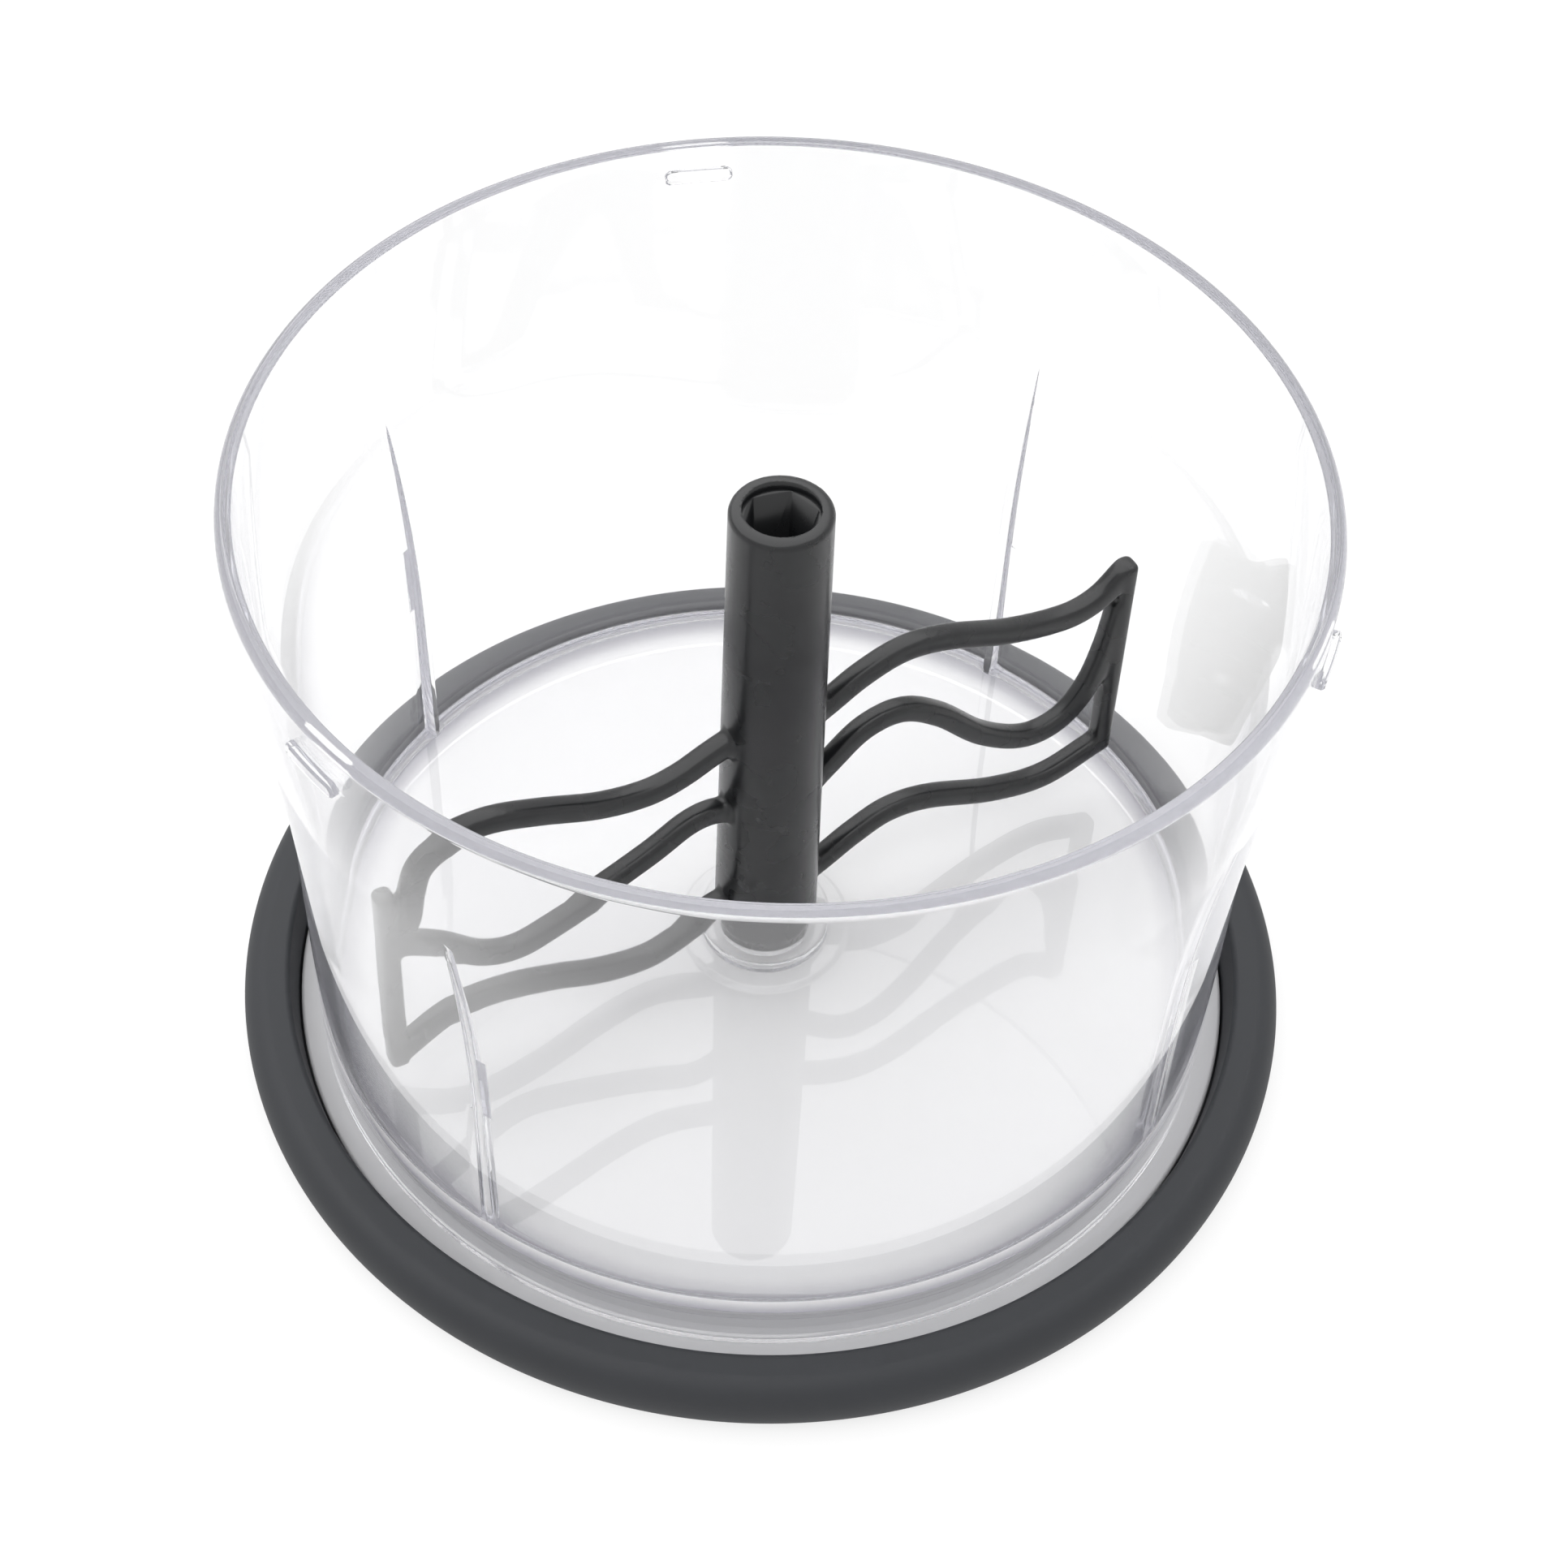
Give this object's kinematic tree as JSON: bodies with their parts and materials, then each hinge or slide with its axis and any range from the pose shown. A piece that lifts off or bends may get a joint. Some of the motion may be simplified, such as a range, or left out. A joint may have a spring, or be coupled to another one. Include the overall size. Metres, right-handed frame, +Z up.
{
  "type": "mini food chopper",
  "caption": "Clear round chopper bowl on a dark non-slip ring base, with a dark mixing paddle of wavy bars on a hollow hex-socket shaft.",
  "frame": {"origin": "on the table, at the foot of the bowl's axis", "axes": "+Z up along the bowl's and the paddle's axis; the picture looks along +Y, with +X to its right"},
  "size_m": [0.1434, 0.1434, 0.095],
  "materials": {
    "non_slip_ring": "matt",
    "base_disc": "satin",
    "bowl": "clear, moulded SAN",
    "spindle_pin": "ground",
    "paddle": "glossy"
  },
  "bodies": {
    "base": {"non_slip_ring": "non_slip_ring", "base_disc": "base_disc"},
    "bowl": {"bowl": "bowl", "spindle_pin": "spindle_pin"},
    "paddle": {"paddle": "paddle"}
  },
  "joints": [
    {"name": "bowl_lift", "type": "slide", "parent": "base", "child": "bowl", "axis": [0, 0, 1], "range_m": [0, 0.03]},
    {"name": "paddle_turn", "type": "hinge", "parent": "bowl", "child": "paddle", "pos_m": [0, 0, 0], "axis": [0, 0, 1], "continuous": true}
  ]
}
